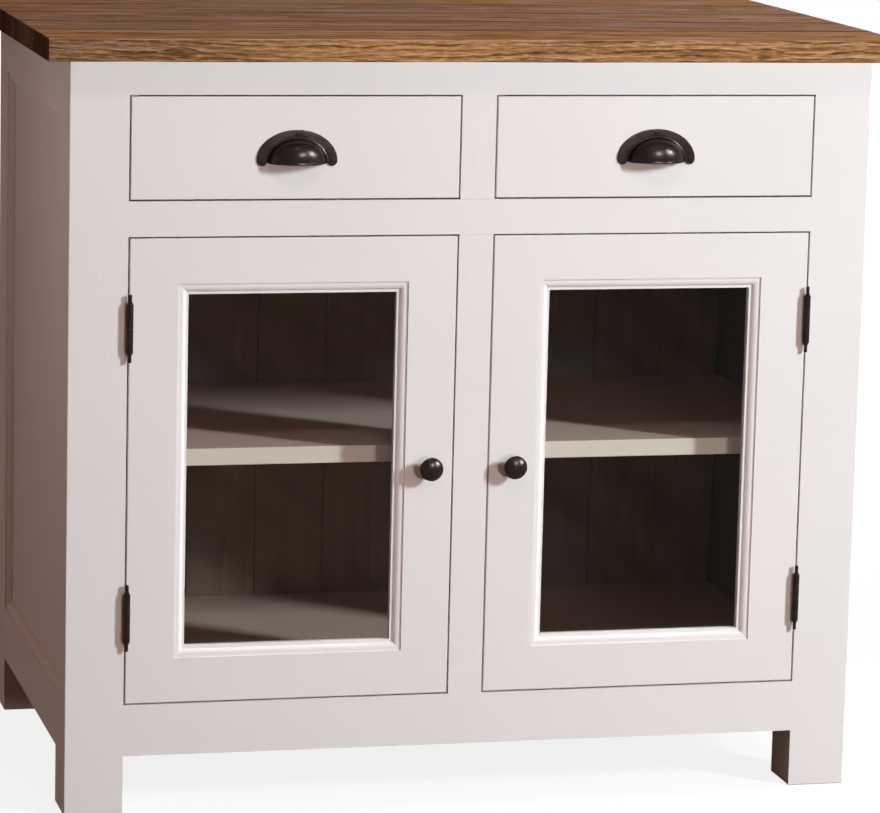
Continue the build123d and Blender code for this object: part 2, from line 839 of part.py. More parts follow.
def door_outline(kind):
    """A member of the right door in front view, mitred where the mouldings meet."""
    x0, x1, z0, z1 = door_x0, door_x1, door_z0, door_z1
    s, r, m = door_stile_flat, door_rail_flat, moulding_width
    stile = [(0, 0), (s, 0), (s, r), (s + m, r + m)]
    width, height = x1 - x0, z1 - z0
    if kind == "lock_stile":
        points = stile + [(s + m, height - r - m), (s, height - r), (s, height), (0, height)]
    elif kind == "hinge_stile":
        points = [(width - x, z) for x, z in stile]
        points += [(width - s - m, height - r - m), (width - s, height - r)]
        points += [(width - s, height), (width, height)]
    else:
        points = [(s, 0), (s, r), (s + m, r + m), (width - s - m, r + m), (width - s, r), (width - s, 0)]
        if kind == "top_rail":
            points = [(x, height - z) for x, z in points]
    return [(x0 + x, front, z0 + z) for x, z in points]


def door_tenons(z_low, z_high):
    """The tenons of a door rail, as one bar through it given as its six faces."""
    middle = (glass_front + door_back) / 2
    y0, y1 = middle - door_tenon_thickness / 2, middle + door_tenon_thickness / 2
    x0, x1 = door_x0 + door_stile_flat, door_x1 - door_stile_flat
    return (x0 - door_tenon_length, x1 + door_tenon_length, y0, y1, z_low, z_high)


def make_doors():
    x0, x1, z0, z1 = door_x0, door_x1, door_z0, door_z1
    inner_x0, inner_x1 = x0 + door_stile_flat, x1 - door_stile_flat
    inner_z0, inner_z1 = z0 + door_rail_flat, z1 - door_rail_flat
    waste = {
        "lock_stile": moulding_waste(lambda s, d: (inner_x0 + s, front + d, z0), UP, z1 - z0),
        "hinge_stile": moulding_waste(lambda s, d: (inner_x1 - s, front + d, z0), UP, z1 - z0),
        "bottom_rail": moulding_waste(lambda s, d: (x0, front + d, inner_z0 + s), RIGHT, x1 - x0),
        "top_rail": moulding_waste(lambda s, d: (x0, front + d, inner_z1 - s), RIGHT, x1 - x0),
    }
    sight_x0, sight_x1 = inner_x0 + moulding_width, inner_x1 - moulding_width
    sight_z0, sight_z1 = inner_z0 + moulding_width, inner_z1 - moulding_width
    rebate = block(
        sight_x0 - glass_cover,
        sight_x1 + glass_cover,
        glass_front,
        door_back,
        sight_z0 - glass_cover,
        sight_z1 + glass_cover,
    )
    tenons = {
        "bottom_rail": door_tenons(z0 + tenon_shoulder, inner_z0 - tenon_shoulder),
        "top_rail": door_tenons(inner_z1 + tenon_shoulder, z1 - tenon_shoulder),
    }
    fronts = {
        "lock_stile": [{"X": x0, "Y": front}, {"Y": front, "Z": z0}, {"Y": front, "Z": z1}],
        "hinge_stile": [{"X": x1, "Y": front}, {"Y": front, "Z": z0}, {"Y": front, "Z": z1}],
        "bottom_rail": [{"Y": front, "Z": z0}],
        "top_rail": [{"Y": front, "Z": z1}],
    }
    members = {}
    for kind, cut in waste.items():
        wood = prism(door_outline(kind), BACKWARD, door_thickness)
        wood = rounded(wood, edge_round, *fronts[kind])
        wood = wood - cut - rebate
        if kind in tenons:
            wood += block(*tenons[kind])
        else:
            for tenon in tenons.values():
                wood -= grown(tenon, joint_end_clearance, ("end", "side", "side"))
        members[kind] = wood
    for height in hinge_heights:
        members["hinge_stile"] -= door_leaf_room(height)
        for point in hinge_screw_points(height):
            members["hinge_stile"] -= placed(screw_hole(hinge_screw), (door_leaf_face, *point), RIGHT)
    knob_seat = (knob_x, door_back, knob_z)
    members["lock_stile"] -= placed(screw_hole(knob_screw, "pan"), knob_seat, BACKWARD)
    for point in plate_screw_points():
        members["lock_stile"] -= placed(screw_hole(plate_screw), point, BACKWARD)
    save_pair("door_{}_hinge_stile", [members["hinge_stile"]])
    save_pair("door_{}_lock_stile", [members["lock_stile"]])
    save_pair("door_{}_rails", [members["bottom_rail"], members["top_rail"]])
    reach = glass_cover - glass_edge_gap
    glass = block(
        sight_x0 - reach,
        sight_x1 + reach,
        glass_front,
        glass_back,
        sight_z0 - reach,
        sight_z1 + reach,
    )
    save_pair("door_{}_glass", [glass])
    save_pair("door_{}_glazing_beads", glazing_beads(sight_x0, sight_x1, sight_z0, sight_z1))


def glazing_beads(x0, x1, z0, z1):
    """Four mitred strips behind the glass, bevelled on their inner back edge."""
    y0, y1 = glass_back, door_back - bead_setback
    ax0, ax1, az0, az1 = x0 - glass_cover, x1 + glass_cover, z0 - glass_cover, z1 + glass_cover
    ring = block(ax0, ax1, y0, y1, az0, az1) - block(x0, x1, y0, y1, z0, z1)
    inner_edges = edges_at(ring, X=x0, Y=y1) + edges_at(ring, X=x1, Y=y1)
    inner_edges += edges_at(ring, Z=z0, Y=y1) + edges_at(ring, Z=z1, Y=y1)
    ring = chamfer(inner_edges, bead_bevel)
    mitres = [
        [(ax0, az0), (x0, z0), (x0, z1), (ax0, az1)],
        [(ax1, az0), (x1, z0), (x1, z1), (ax1, az1)],
        [(ax0, az0), (x0, z0), (x1, z0), (ax1, az0)],
        [(ax0, az1), (x0, z1), (x1, z1), (ax1, az1)],
    ]
    return [ring & prism([(x, y0, z) for x, z in outline], BACKWARD, y1 - y0) for outline in mitres]


def hinge_screw_points(height):
    """Y and Z of the screws in one leaf of the hinge at this height."""
    y = front + hinge_screw_reach
    return [(y, height - hinge_screw_spread), (y, height + hinge_screw_spread)]


def door_leaf_room(height):
    """The mortise in the door's edge for one leaf."""
    half = hinge_length / 2 + leaf_clearance
    x0, x1 = door_x1 - leaf_mortise_depth, door_x1 + cut_over
    return block(x0, x1, front - cut_over, leaf_end + leaf_clearance, height - half, height + half)


def barrel(z0, z1):
    """A length of hinge barrel on the hinge's axis."""
    return Pos(hinge_x, hinge_y, (z0 + z1) / 2) * Cylinder(barrel_radius, z1 - z0)


def finial(end, way):
    """A slim turned finial with a collar, upwards or downwards from a barrel's end."""
    collar = Pos(0, 0, finial_collar_height / 2) * Cylinder(finial_collar_radius, finial_collar_height)
    stem_length = finial_length - finial_collar_height
    stem = Pos(0, 0, finial_collar_height + stem_length / 2) * Cylinder(finial_radius, stem_length)
    stem = fillet(stem.edges().group_by(Axis.Z)[-1], finial_round)
    turned = collar + stem
    if way < 0:
        turned = mirror(turned, about=Plane.XY)
    return Pos(hinge_x, hinge_y, end) * turned


def hinge_leaf(face, side, low, high, arm_low, arm_high):
    """One leaf on the side of its face away from the gap, with the arm that reaches its barrel."""
    x0, x1 = sorted((face, face + side * leaf_thickness))
    plate = block(x0, x1, front + leaf_relief, leaf_end, low, high)
    return plate + block(x0, x1, hinge_y, leaf_end, arm_low, arm_high) + barrel(arm_low, arm_high)


def make_hinges():
    frame_leaves, door_leaves, pins = [], [], []
    for height in hinge_heights:
        low, high = height - hinge_length / 2, height + hinge_length / 2
        under, over = height - barrel_gap / 2, height + barrel_gap / 2
        frame_leaf = hinge_leaf(frame_leaf_face, 1, low, high, low, under) + finial(low, -1)
        door_leaf = hinge_leaf(door_leaf_face, -1, low, high, over, high) + finial(high, 1)
        middle = Pos(hinge_x, hinge_y, height)
        frame_leaf -= middle * Cylinder(pin_radius + pin_fit, 2 * pin_engagement)
        bore_length = 2 * (pin_engagement + fit_clearance)
        door_leaf -= middle * Cylinder(pin_radius + pin_running_clearance, bore_length)
        for y, z in hinge_screw_points(height):
            frame_leaf -= placed(screw_hole(hinge_screw), (frame_leaf_face, y, z), LEFT)
            door_leaf -= placed(screw_hole(hinge_screw), (door_leaf_face, y, z), RIGHT)
        frame_leaves.append(frame_leaf)
        door_leaves.append(door_leaf)
        pin = middle * Cylinder(pin_radius, 2 * pin_engagement)
        pins.append(fillet(pin.edges().group_by(Axis.Z)[-1], pin_round))
    save("hinge_frame_leaves", frame_leaves + mirrored(frame_leaves))
    save("hinge_pins", pins + mirrored(pins))
    save_pair("door_{}_hinge_leaves", door_leaves)


def make_knobs():
    """Turned knobs: a base, a waisted neck and a head with a domed front and a rounded rim."""
    rim, base, neck, neck_end = knob_radius, knob_base_radius, knob_neck_radius, knob_neck_end
    waist_end = neck_end - knob_neck_straight
    dome = knob_length - knob_rim_at
    dome_radius = (rim**2 + dome**2) / (2 * dome)
    dome_angle = math.asin(rim / dome_radius) / 2
    dome_middle = (
        dome_radius * math.sin(dome_angle),
        knob_length - dome_radius * (1 - math.cos(dome_angle)),
    )
    waist_middle = (knob_waist_radius, (knob_base_thickness + waist_end) / 2)
    under_middle = (knob_swell_radius, knob_swell_at)
    outline = [
        Line((0, 0), (base, 0)),
        Line((base, 0), (base, knob_base_thickness)),
        ThreePointArc((base, knob_base_thickness), waist_middle, (neck, waist_end)),
        Line((neck, waist_end), (neck, neck_end)),
        ThreePointArc((neck, neck_end), under_middle, (rim, knob_rim_at)),
        ThreePointArc((rim, knob_rim_at), dome_middle, (0, knob_length)),
        Line((0, knob_length), (0, 0)),
    ]
    turned = revolve(make_face(Plane.XZ * Wire(outline)), Axis.Z)
    widest = turned.edges().filter_by(GeomType.CIRCLE).sort_by(SortBy.LENGTH)[-1]
    turned = fillet(widest, knob_rim_round)
    hole_depth = knob_screw_engagement + knob_hole_end
    turned -= Pos(0, 0, hole_depth / 2) * Cylinder(knob_screw.shank_radius + screw_fit, hole_depth)
    save_pair("door_{}_knob", [placed(turned, (knob_x, front, knob_z), FORWARD)])


def catch_place():
    """The right-hand magnet catch as its six faces: on the centre post, just behind the door."""
    x0 = post_width / 2
    y0 = door_back + plate_thickness + catch_air
    z1 = door_z1 - catch_drop
    return (x0, x0 + catch_width, y0, y0 + catch_thickness, z1 - catch_length, z1)


def catch_screw_points():
    """The seats of the right-hand catch's screws, one in each ear."""
    x0, x1, y0, y1, z0, z1 = catch_place()
    ear = catch_ear_length / 2
    return [(x0 + catch_ear_thickness, (y0 + y1) / 2, z) for z in (z0 + ear, z1 - ear)]


def plate_place():
    """The right-hand strike plate as its six faces."""
    x0 = door_x0 + plate_inset
    middle = (catch_place()[4] + catch_place()[5]) / 2
    low, high = middle - plate_length / 2, middle + plate_length / 2
    return (x0, x0 + plate_width, door_back, door_back + plate_thickness, low, high)


def plate_screw_points():
    """The seats of the right-hand plate's screws."""
    x0, x1, y0, y1, z0, z1 = plate_place()
    return [((x0 + x1) / 2, y1, z) for z in (z0 + plate_screw_inset, z1 - plate_screw_inset)]


def make_catches():
    x0, x1, y0, y1, z0, z1 = catch_place()
    middle = (z0 + z1) / 2
    magnet = block(
        x1 - magnet_inset - magnet_width,
        x1 - magnet_inset,
        y0,
        y0 + magnet_depth,
        middle - magnet_length / 2,
        middle + magnet_length / 2,
    )
    ears = block(x0, x0 + catch_ear_thickness, y0, y1, z0, z1)
    housing = ears + block(x0, x1, y0, y1, z0 + catch_ear_length, z1 - catch_ear_length) - magnet
    for point in catch_screw_points():
        housing -= placed(screw_hole(plate_screw), point, RIGHT)
    save("magnet_catches", [housing, magnet, *mirrored([housing, magnet])])
    plate = block(*plate_place())
    for point in plate_screw_points():
        plate -= placed(screw_hole(plate_screw), point, BACKWARD)
    save_pair("door_{}_strike_plate", [plate])


def make_screws():
    """Every screw of the carcass in one group, and every screw of each door in another."""
    cabinet, door = [], []
    for height in hinge_heights:
        for point in hinge_screw_points(height):
            cabinet.append(placed(screw(hinge_screw), (frame_leaf_face, *point), LEFT))
            door.append(placed(screw(hinge_screw), (door_leaf_face, *point), RIGHT))
    for point in catch_screw_points():
        cabinet.append(placed(screw(plate_screw), point, RIGHT))
    for point in button_points():
        cabinet.append(placed(screw(worktop_screw, "pan"), point, DOWN))
    for point in plate_screw_points():
        door.append(placed(screw(plate_screw), point, BACKWARD))
    door.append(placed(screw(knob_screw, "pan"), (knob_x, door_back, knob_z), BACKWARD))
    save("cabinet_screws", cabinet + mirrored(cabinet))
    save_pair("door_{}_screws", door)


os.makedirs("parts", exist_ok=True)
make_worktop()
make_worktop_buttons()
make_legs()
make_front_frame()
make_sides()
make_back()
make_floor()
make_centre_post()
make_shelf()
make_drawer_supports()
make_drawers()
make_doors()
make_hinges()
make_knobs()
make_catches()
make_screws()
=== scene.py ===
"""The looks of a painted kitchen base cabinet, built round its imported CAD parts.

Metres, with Z up and the front at -Y.
"""

import math

import bmesh
import bpy
import numpy as np
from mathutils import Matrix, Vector


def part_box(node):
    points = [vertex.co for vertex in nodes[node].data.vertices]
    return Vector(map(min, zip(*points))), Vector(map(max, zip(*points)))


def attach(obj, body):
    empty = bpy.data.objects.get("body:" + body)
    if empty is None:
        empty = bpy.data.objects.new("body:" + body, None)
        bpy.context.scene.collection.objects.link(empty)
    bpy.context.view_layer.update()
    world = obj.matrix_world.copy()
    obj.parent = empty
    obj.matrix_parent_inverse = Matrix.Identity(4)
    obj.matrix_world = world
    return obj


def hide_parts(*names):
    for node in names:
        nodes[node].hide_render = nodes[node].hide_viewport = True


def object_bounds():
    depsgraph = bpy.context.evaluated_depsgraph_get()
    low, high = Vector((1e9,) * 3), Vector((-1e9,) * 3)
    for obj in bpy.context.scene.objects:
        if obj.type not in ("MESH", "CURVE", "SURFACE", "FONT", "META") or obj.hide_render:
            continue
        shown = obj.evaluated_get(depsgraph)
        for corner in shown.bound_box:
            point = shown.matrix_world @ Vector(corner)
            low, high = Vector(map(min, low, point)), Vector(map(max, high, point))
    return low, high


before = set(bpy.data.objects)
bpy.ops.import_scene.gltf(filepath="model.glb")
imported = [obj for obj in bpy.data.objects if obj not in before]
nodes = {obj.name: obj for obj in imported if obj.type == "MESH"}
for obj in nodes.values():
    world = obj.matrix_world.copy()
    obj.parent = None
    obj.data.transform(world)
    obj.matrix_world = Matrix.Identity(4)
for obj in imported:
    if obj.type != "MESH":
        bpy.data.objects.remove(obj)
cad_low, cad_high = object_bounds()

# Camera, at the photograph's viewing angle, with its turns in degrees and its lens in millimetres
camera_place = (-1.1694, -4.7768, 1.2947)
camera_turn = (79.9347, -1.3947, -13.8263)
camera_lens = 167.85

# Lamps: direction from the cabinet's middle, distance, width and height, power in watts, colour.
# The side and left lamps light the shaded left side, and the two glints are seen only as reflections.
key_place = ((1.08, -1.0, 0.57), 5.2, (0.38, 0.95))
lamps = {
    "key": (*key_place, 259.0, (0.83, 0.945, 1.0)),
    "front": ((0.22, -1.0, 0.05), 3.4, (0.32, 0.5), 28.0, (1.0, 0.85, 0.81)),
    "steep": ((-0.1, -0.83, 1.0), 3.0, (0.3, 0.3), 7.5, (1.0, 0.88, 0.84)),
    "side": ((-0.9, -0.25, 0.35), 1.0, (0.3, 0.3), 0.33, (1.0, 0.85, 0.76)),
    "left": ((-1.0, 0.05, 0.12), 3.0, (0.9, 0.9), 3.2, (1.0, 0.98, 0.9)),
    "back": ((0.12, 1.0, 0.2), 3.2, (1.6, 1.6), 42.0, (0.9, 0.97, 1.0)),
    "top": ((0.85, 0.12, 1.0), 2.2, (1.0, 1.0), 13.5, (0.96, 0.97, 1.0)),
    "glint": ((0.2, -1.0, 0.35), 3.3, (0.25, 0.3), 105.0, (1.0, 1.0, 1.0)),
    "key_glint": (*key_place, 420.0, (1.0, 1.0, 1.0)),
}

# Surroundings: the light from all round, and the floor as things are lit by it and as the camera sees it
ambient_colour = (0.13, 0.035, 0.012, 1.0)
floor_half = 12.0
floor_bounce = (0.11, 0.08, 0.06, 1.0)
floor_seen = (0.18, 0.18, 0.18, 1.0)
glow_near, glow_far = 0.9, 2.6
glow_near_strength, glow_far_strength = 0.86, 1.0

# Colours, as linear light
white = (1.0, 1.0, 1.0, 1.0)
paint_colour = (0.80, 0.775, 0.765, 1.0)
inside_colour = (0.76, 0.67, 0.59, 1.0)
# Painted shade for the inside's upward faces: darker and warmer than the inside paint, standing for bounce
# light
inside_top_painted_shade = (0.63, 0.455, 0.39, 1.0)
inner_light = (0.15, 0.105, 0.072, 1.0)
inner_dark = (0.10, 0.066, 0.044, 1.0)
iron_colour = (0.013, 0.0065, 0.0065, 1.0)
iron_brown = (0.024, 0.012, 0.011, 1.0)
iron_shine = (1.0, 0.84, 0.84, 1.0)
steel_dark = (0.42, 0.41, 0.40, 1.0)
steel_light = (0.58, 0.58, 0.57, 1.0)
plastic_dark = (0.050, 0.026, 0.014, 1.0)
plastic_light = (0.075, 0.041, 0.024, 1.0)
glass_tint = (0.93, 0.94, 0.93, 1.0)
wood_mid = (0.215, 0.098, 0.038, 1.0)
wood_light = (0.47, 0.245, 0.105, 1.0)
wood_pale = (0.66, 0.42, 0.24, 1.0)
wood_dark = (0.070, 0.028, 0.010, 1.0)
wood_knot = (0.095, 0.040, 0.014, 1.0)
wood_grey = (0.285, 0.178, 0.122, 1.0)
wood_pink = (0.46, 0.31, 0.235, 1.0)
wood_gold = (0.48, 0.24, 0.085, 1.0)
wood_end = (0.19, 0.145, 0.11, 1.0)
wood_end_dark = (0.08, 0.055, 0.04, 1.0)
wood_seam = (0.03, 0.013, 0.006, 1.0)
board_light = (0.42, 0.30, 0.205, 1.0)
board_dark = (0.20, 0.13, 0.085, 1.0)
board_red = (0.32, 0.18, 0.12, 1.0)
pine_light = (0.62, 0.43, 0.24, 1.0)
pine_dark = (0.40, 0.23, 0.10, 1.0)

# Worktop planks, with the mesh's steps along X, Y and Z
plank_count = 5
plank_tones = (0.22, 0.8, 0.62, 0.85, 0.7)
plank_steps = (0.005, 0.003, 0.0022)
front_plank_steps = (0.0025, 0.003, 0.00065)
outer_round = 0.0012
seam_round = 0.0005
ring_pitch = 0.0031
front_ring_pitch = 0.0043
pith_below = 0.040
pith_shift_even, pith_shift_odd = -0.006, 0.012
brush_depth = 0.00035
uneven_depth = 0.00012
seam_width = 0.0011
seam_stain_width = 0.009
seam_stain_front, seam_stain_rest = 0.5, 0.25
# Painted shade: a dark line along the foot of the front plank's front face, with its height and strength
foot_painted_shade_height = 0.0014
foot_painted_shade = 0.7

# Knots in the front plank's edge: X, height over its underside, size, and lean
front_knots = ((-0.352, 0.010, 0.0056, -0.05), (0.327, 0.008, 0.0058, 0.08))

# Cup pulls, with z from the foot of the ears and depth from the drawer's face; the unevenness is a share
pull_half = 0.0465
pull_arch = 0.035
pull_ear = 0.006
pull_plate = 0.0021
pull_unevenness = 0.003
rim_level = 0.003
dome_half = 0.0335
dome_rise = 0.0279
dome_reach = 0.024
dome_wall = 0.0018
dome_power = 2.8
dome_tuck = 0.0006
dome_sunk = 0.0002
rim_draw = 0.0011
rim_draw_height = 0.012
lip_depth = 0.0006
lip_height = 0.0012
lip_width = 0.0009
lip_drop = 0.0004

# In degrees: where the dome's ring of points starts and ends, and the least turn at an edge shaded as sharp
dome_end_turn = 1.2
sharp_turn = 40.0

# The plate's rounded edge: how far in, and the share of the plate's thickness
plate_profile = ((0.0, 0.0), (0.0, 0.6), (0.00012, 0.76), (0.00035, 0.9), (0.0007, 0.98), (0.0011, 1.0))

# The bead round the dome: shares of the bead's width outwards and of the plate's thickness forwards
bead_width = 0.0021
bead_start = 0.25
bead_profile = (
    (1.5, 0.2), (1.5, 1.02), (1.46, 1.1), (1.3, 1.18), (1.1, 1.28), (0.9, 1.38), (0.78, 1.43), (0.68, 1.42),
    (0.58, 1.34), (0.46, 1.2), (0.34, 1.14), (0.22, 1.22), (0.08, 1.42),
)

# Back boards, with the place of one joint between them
board_cover = 0.088
board_start = 0.0195


class Nodes:
    """The node tree of a material or world, with short ways to add nodes and join them."""

    def __init__(self, owner):
        self.owner = owner
        owner.use_nodes = True
        self.tree = owner.node_tree
        self.tree.nodes.clear()

    def add(self, kind, settings=(), **inputs):
        """A new node with its settings, and its inputs by name with _ for a space."""
        node = self.tree.nodes.new("ShaderNode" + kind)
        for name, value in dict(settings).items():
            setattr(node, name, value)
        for name, value in inputs.items():
            self.feed(node.inputs[name.replace("_", " ")], value)
        return node

    def feed(self, socket, value):
        """Joins a socket to another one, or sets it to a plain value."""
        if isinstance(value, bpy.types.NodeSocket):
            self.tree.links.new(value, socket)
        else:
            socket.default_value = value

    def math(self, operation, *values):
        node = self.add("Math", {"operation": operation})
        for socket, value in zip(node.inputs, values):
            self.feed(socket, value)
        return node.outputs[0]

    def times(self, first, *others):
        for other in others:
            first = self.math("MULTIPLY", first, other)
        return first

    def plus(self, a, b):
        return self.math("ADD", a, b)

    def minus(self, a, b):
        return self.math("SUBTRACT", a, b)

    def point(self):
        """The place on the piece, in metres, which moves with it."""
        return self.add("TexCoord").outputs["Object"]

    def coordinate(self, vector, letter):
        """The X, Y or Z of a vector."""
        return self.add("SeparateXYZ", Vector=vector).outputs[letter]

    def facing(self, letter):
        """How far a face looks along X, Y or Z, from -1 to 1."""
        return self.coordinate(self.add("TexCoord").outputs["Normal"], letter)

    def attribute(self, name):
        """A number that the mesh carries at its points."""
        return self.add("Attribute", {"attribute_name": name}).outputs["Fac"]

    def moved(self, vector, shift):
        node = self.add("VectorMath", {"operation": "ADD"})
        self.feed(node.inputs[0], vector)
        self.feed(node.inputs[1], shift)
        return node.outputs[0]

    def stretched(self, vector, scale):
        return self.add("Mapping", Vector=vector, Scale=scale).outputs[0]

    def noise(self, vector, scale, detail=2.0, roughness=0.5, distortion=0.0):
        node = self.add("TexNoise", Vector=vector, Scale=scale, Detail=detail, Roughness=roughness)
        node.inputs["Distortion"].default_value = distortion
        return node.outputs["Fac"]

    def grain(self, vector, axis, along, across, detail=2.0, roughness=0.5, distortion=0.0):
        """Noise drawn out along one axis, with its scale along that axis and across it."""
        scale = drawn_out(axis, along, across)
        return self.noise(self.stretched(vector, scale), 1.0, detail, roughness, distortion)

    def random(self, number):
        """The outputs of a node that gives a random value and colour for each number."""
        return self.add("TexWhiteNoise", {"noise_dimensions": "1D"}, W=number).outputs

    def ranged(self, value, low, high, to_low=0.0, to_high=1.0):
        """A value brought from one range to another, and kept inside it."""
        node = self.add("MapRange", Value=value)
        for name, number in zip(("From Min", "From Max", "To Min", "To Max"), (low, high, to_low, to_high)):
            node.inputs[name].default_value = number
        return node.outputs[0]

    def mix(self, factor, a, b):
        node = self.add("Mix", {"data_type": "RGBA"})
        self.feed(node.inputs["Factor"], factor)
        self.feed(node.inputs[6], a)
        self.feed(node.inputs[7], b)
        return node.outputs[2]

    def bump(self, height, distance, strength):
        return self.add("Bump", Height=height, Distance=distance, Strength=strength).outputs[0]

    def finish(self, **inputs):
        """Ends a material with a principled shader."""
        return self.show(self.add("BsdfPrincipled", **inputs).outputs[0])

    def show(self, socket, output="OutputMaterial"):
        self.tree.links.new(socket, self.add(output).inputs["Surface"])
        return self.owner


def new_material(name):
    return Nodes(bpy.data.materials.new(name))


def drawn_out(axis, along, across):
    """A scale for X, Y and Z that differs along one axis."""
    return [along if letter == axis else across for letter in "XYZ"]


def shade(colour, factor):
    """A colour made darker or paler."""
    return tuple(min(1.0, part * factor) for part in colour[:3]) + (1.0,)


def painted(name, along, colour=paint_colour, painted_shade_above=None, dark_inside=False):
    """Satin paint brushed along one axis, with the wood's grain just showing through; when asked, painted
    warm shade on faces that look up, and dark brown on faces that look into the cabinet.
    """
    n = new_material(name)
    place = n.point()
    streaks = n.grain(place, along, 7.0, 260.0, 3.0, 0.6)
    peel = n.noise(place, 650.0, 1.0)
    cloud = n.noise(place, 5.0, 2.0)
    colour = n.mix(n.ranged(cloud, 0.3, 0.7), shade(colour, 0.975), colour)
    # Painted shade: faces that look up take a darker, warmer colour, standing for the bounce light from the
    # brown boards
    if painted_shade_above:
        colour = n.mix(n.ranged(n.facing("Z"), 0.5, 0.9), colour, painted_shade_above)
    # The side's faces that look into the cabinet are made dark brown
    if dark_inside:
        stain = n.mix(n.ranged(streaks, 0.35, 0.65), inner_dark, inner_light)
        colour = n.mix(facing_in(n), colour, stain)
    height = n.plus(n.times(streaks, 0.8), n.times(peel, 0.2))
    normal = n.bump(height, 0.00025, 0.6)
    rough = n.ranged(streaks, 0.3, 0.7, 0.5, 0.62)
    return n.finish(Base_Color=colour, Roughness=rough, Normal=normal, Specular_IOR_Level=0.012)


def facing_in(n):
    """1 on the faces of a side that look at the cabinet's inside, and 0 elsewhere."""
    outwards = n.times(n.coordinate(n.point(), "X"), n.facing("X"))
    return n.math("LESS_THAN", outwards, -0.1)


def late_wood(n, place, ring):
    """Each ring's dark line, some fainter and all broken along the grain, and the place within the ring."""
    ripple = n.grain(place, "X", 24.0, 170.0)
    breaks = n.grain(place, "X", 11.0, 120.0)
    shaken = n.plus(ring, n.times(n.minus(ripple, 0.5), 1.1))
    in_ring = n.math("FRACT", shaken)
    which = n.random(n.math("FLOOR", shaken))["Value"]
    line = n.times(
        n.ranged(in_ring, 0.4, 0.88),
        n.ranged(in_ring, 0.99, 0.93),
        n.ranged(which, 0.0, 1.0, 0.5, 1.0),
        n.ranged(breaks, 0.38, 0.52, 0.2, 1.0),
    )
    return line, in_ring


def early_wood(n, place, fibres, tone, in_ring):
    """The colour between the dark lines: from golden to grey by tone, with pale flecks, and a pale band
    after each dark line that is partly earlywood tone and partly a painted highlight.
    """
    bands = n.grain(place, "X", 3.0, 150.0, 3.0, 0.6)
    flecks = n.grain(place, "X", 22.0, 700.0)
    colour = n.mix(n.ranged(fibres, 0.36, 0.66), wood_mid, wood_light)
    colour = n.mix(n.ranged(tone, 0.45, 1.0), colour, wood_grey)
    colour = n.mix(n.ranged(tone, 0.5, 0.0), colour, wood_gold)
    colour = n.mix(n.times(n.ranged(bands, 0.52, 0.3), 0.6), colour, wood_mid)
    colour = n.mix(n.times(n.ranged(flecks, 0.6, 0.74), 0.75), colour, wood_pale)
    # Partly painted highlight: a pale band just after each dark line
    glow = n.times(n.ranged(in_ring, 0.42, 0.12), n.ranged(in_ring, 0.0, 0.1))
    return n.mix(n.times(glow, n.ranged(bands, 0.45, 0.6), 0.5), colour, wood_pale)


def wear_and_painted_light(n, place, colour, edge, chips):
    """A chipped front edge, the front edge darker towards the left, a pale line on its top corner for wear
    and a painted highlight, and pale pink patches on the top faces, partly brushed tone and partly painted
    sheen.
    """
    across = n.coordinate(place, "X")
    top = n.ranged(n.facing("Z"), 0.5, 0.9)
    patches = n.grain(place, "X", 6.5, 75.0, 2.0, 0.45)
    colour = n.mix(n.times(edge, n.ranged(chips, 0.5, 0.36, 0.0, 0.34)), colour, wood_dark)
    colour = n.mix(n.times(edge, n.ranged(chips, 0.52, 0.66, 0.0, 0.42)), colour, wood_pale)
    # The front edge made darker towards the left
    colour = n.mix(n.times(edge, n.ranged(across, -0.15, -0.5, 0.0, 0.32)), colour, wood_dark)
    # Partly painted sheen: pale pink patches only on the faces that look up
    colour = n.mix(n.times(top, n.ranged(patches, 0.53, 0.63, 0.0, 0.6)), colour, wood_pink)
    # Wear and a painted highlight: a pale line along the front plank's top corner
    return n.mix(n.times(n.attribute("wear_and_highlight"), 0.4), colour, wood_pale)


def end_wood(n, colour, tone, in_ring):
    """A plank's colour with end grain on the faces that look along X."""
    end_tone = n.mix(n.ranged(tone, 0.35, 0.8), wood_end_dark, wood_end)
    end_grain = n.mix(n.ranged(in_ring, 0.4, 0.9, 0.0, 0.6), end_tone, wood_seam)
    at_end = n.ranged(n.math("ABSOLUTE", n.facing("X")), 0.5, 0.9)
    return n.mix(n.times(at_end, 0.9), colour, end_grain)


def brushed_wood(name):
    """Stained and brushed softwood, whose rings and knots come from the plank's own growth."""
    n = new_material(name)
    place = n.point()
    knot = n.attribute("knot")
    tone = n.attribute("tone")
    fibres = n.grain(place, "X", 6.0, 560.0, 4.0, 0.65)
    chips = n.noise(n.stretched(place, (62.0, 300.0, 430.0)), 1.0, 2.0, 0.6)
    edge = n.ranged(n.facing("Y"), -0.5, -0.9)
    late, in_ring = late_wood(n, place, n.attribute("ring"))
    core_line = n.ranged(n.math("FRACT", n.attribute("core")), 0.5, 0.9)
    line = n.math("MAXIMUM", late, n.times(knot, core_line))
    line_strength = n.times(line, n.ranged(n.facing("Z"), 0.5, 0.9, 0.97, 0.8))
    colour = n.mix(line_strength, early_wood(n, place, fibres, tone, in_ring), wood_dark)
    colour = wear_and_painted_light(n, place, colour, edge, chips)
    # The seam number darkens the joints between planks, and paints shade along the foot of the front edge
    colour = n.mix(n.times(n.attribute("seam"), 0.85), colour, wood_seam)
    colour = n.mix(n.times(knot, 0.6), colour, wood_knot)
    colour = end_wood(n, colour, tone, in_ring)
    height = n.minus(n.times(fibres, 0.6), n.times(line, 0.8))
    height = n.plus(height, n.times(edge, chips, 0.7))
    normal = n.bump(height, 0.0008, 1.0)
    rough = n.ranged(line, 0.0, 1.0, 0.5, 0.7)
    return n.finish(Base_Color=colour, Roughness=rough, Normal=normal, Specular_IOR_Level=0.0)


